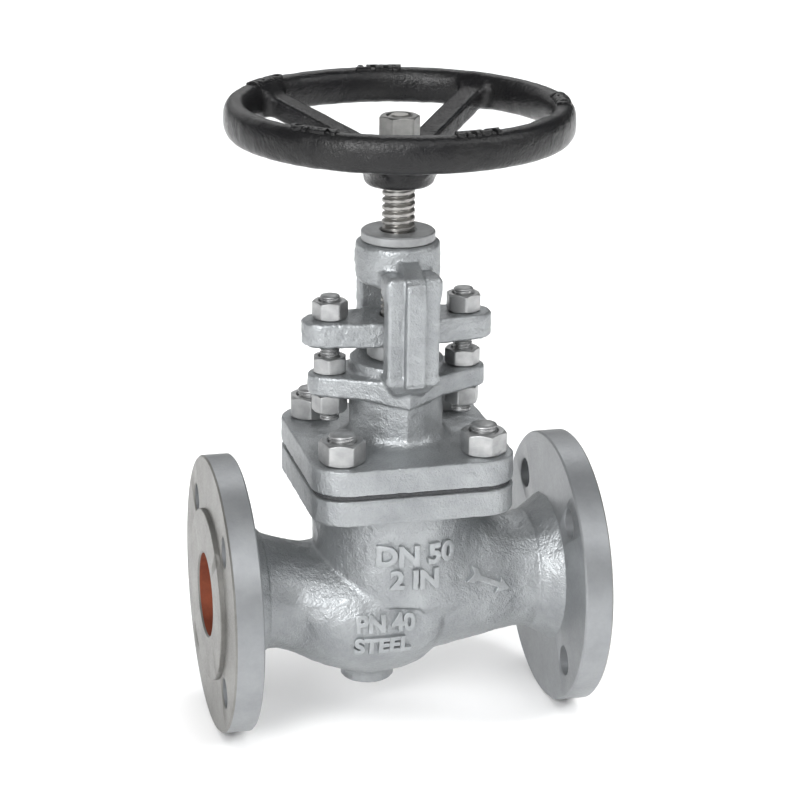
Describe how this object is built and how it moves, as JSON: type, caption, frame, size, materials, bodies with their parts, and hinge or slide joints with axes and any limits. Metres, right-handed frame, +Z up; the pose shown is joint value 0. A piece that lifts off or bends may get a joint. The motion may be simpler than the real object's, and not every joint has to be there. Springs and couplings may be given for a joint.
{
  "type": "globe valve",
  "caption": "Flanged globe valve with a bolted bonnet, an outside screw and yoke, a bolted gland and a rising handwheel that lifts a disc off its seat.",
  "frame": {"origin": "where the pipe axis and the stem axis cross, at the middle of the body", "axes": "+X along the pipe towards the outlet flange, +Z up the stem towards the handwheel, and +Y towards the yoke arm at the back"},
  "size_m": [0.23, 0.2, 0.3757],
  "materials": {
    "silver_paint": "aluminium paint over a rough steel casting",
    "black_enamel": "semi-gloss black enamel over a rough iron casting",
    "stainless": "turned stainless steel",
    "machined_steel": "dull machined steel, lightly oiled",
    "graphite": "pressed graphite"
  },
  "bodies": {
    "root": {"body": "silver_paint", "bonnet": "silver_paint", "gland_flange": "silver_paint", "seat_ring": "stainless", "backseat_bush": "stainless", "packing_washer": "stainless", "gland_follower": "stainless", "bonnet_gasket": "graphite", "packing_ring_1": "graphite", "packing_ring_2": "graphite", "packing_ring_3": "graphite", "packing_ring_4": "graphite", "packing_ring_5": "graphite", "yoke_bush": "machined_steel", "yoke_bush_set_screw": "machined_steel", "bonnet_stud_1": "machined_steel", "bonnet_stud_2": "machined_steel", "bonnet_stud_3": "machined_steel", "bonnet_stud_4": "machined_steel", "bonnet_nut_1": "machined_steel", "bonnet_nut_2": "machined_steel", "bonnet_nut_3": "machined_steel", "bonnet_nut_4": "machined_steel", "gland_stud_left": "machined_steel", "gland_stud_right": "machined_steel", "gland_nut_lower_left": "machined_steel", "gland_nut_middle_left": "machined_steel", "gland_nut_upper_left": "machined_steel", "gland_nut_lower_right": "machined_steel", "gland_nut_middle_right": "machined_steel", "gland_nut_upper_right": "machined_steel"},
    "closure": {"disc": "stainless", "disc_nut": "stainless"},
    "operator": {"stem": "stainless", "handwheel": "black_enamel", "handwheel_washer": "machined_steel", "handwheel_nut": "machined_steel"}
  },
  "joints": [
    {"name": "disc_lift", "type": "slide", "parent": "root", "child": "closure", "axis": [0, 0, 1], "range_m": [0, 0.01694]},
    {"name": "stem_turn", "type": "hinge", "parent": "closure", "child": "operator", "pos_m": [0, 0, 0], "axis": [0, 0, 1], "range_deg": [0, 1440]}
  ],
  "couplings": [
    {"joint": "disc_lift", "follows": "stem_turn", "m_per_rad": 0.00067375}
  ]
}
